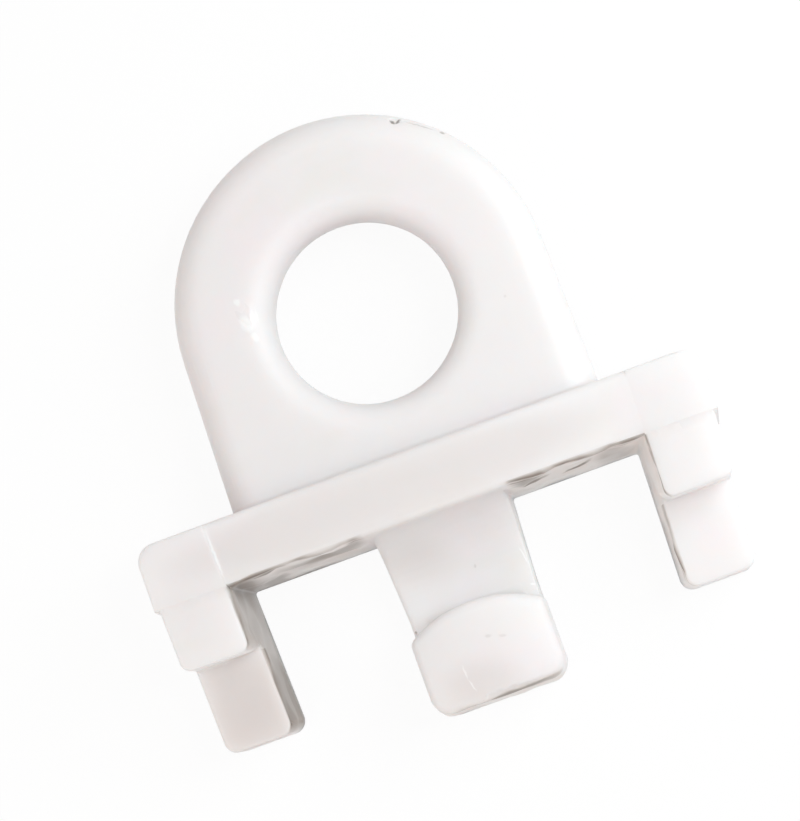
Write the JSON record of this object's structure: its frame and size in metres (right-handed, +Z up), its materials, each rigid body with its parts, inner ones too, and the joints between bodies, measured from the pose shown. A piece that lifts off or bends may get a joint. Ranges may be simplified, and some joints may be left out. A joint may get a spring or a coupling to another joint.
{
  "type": "curtain glider",
  "caption": "Moulded white plastic curtain glider with a round hook eye on a crossbar, stepped side arms and a springy snap tongue that clips behind a track lip",
  "frame": {"origin": "bottom centre of the box: the glider lies on its flat back at z = 0", "axes": "+X along the crossbar, +Y from the tongue towards the eye, +Z up out of the front face"},
  "size_m": [0.0228, 0.0236, 0.0051],
  "materials": {
    "glider_plastic": "milky white moulded plastic, semi-gloss, with faint flow marks"
  },
  "bodies": {
    "root": {"glider": "glider_plastic"}
  },
  "joints": []
}
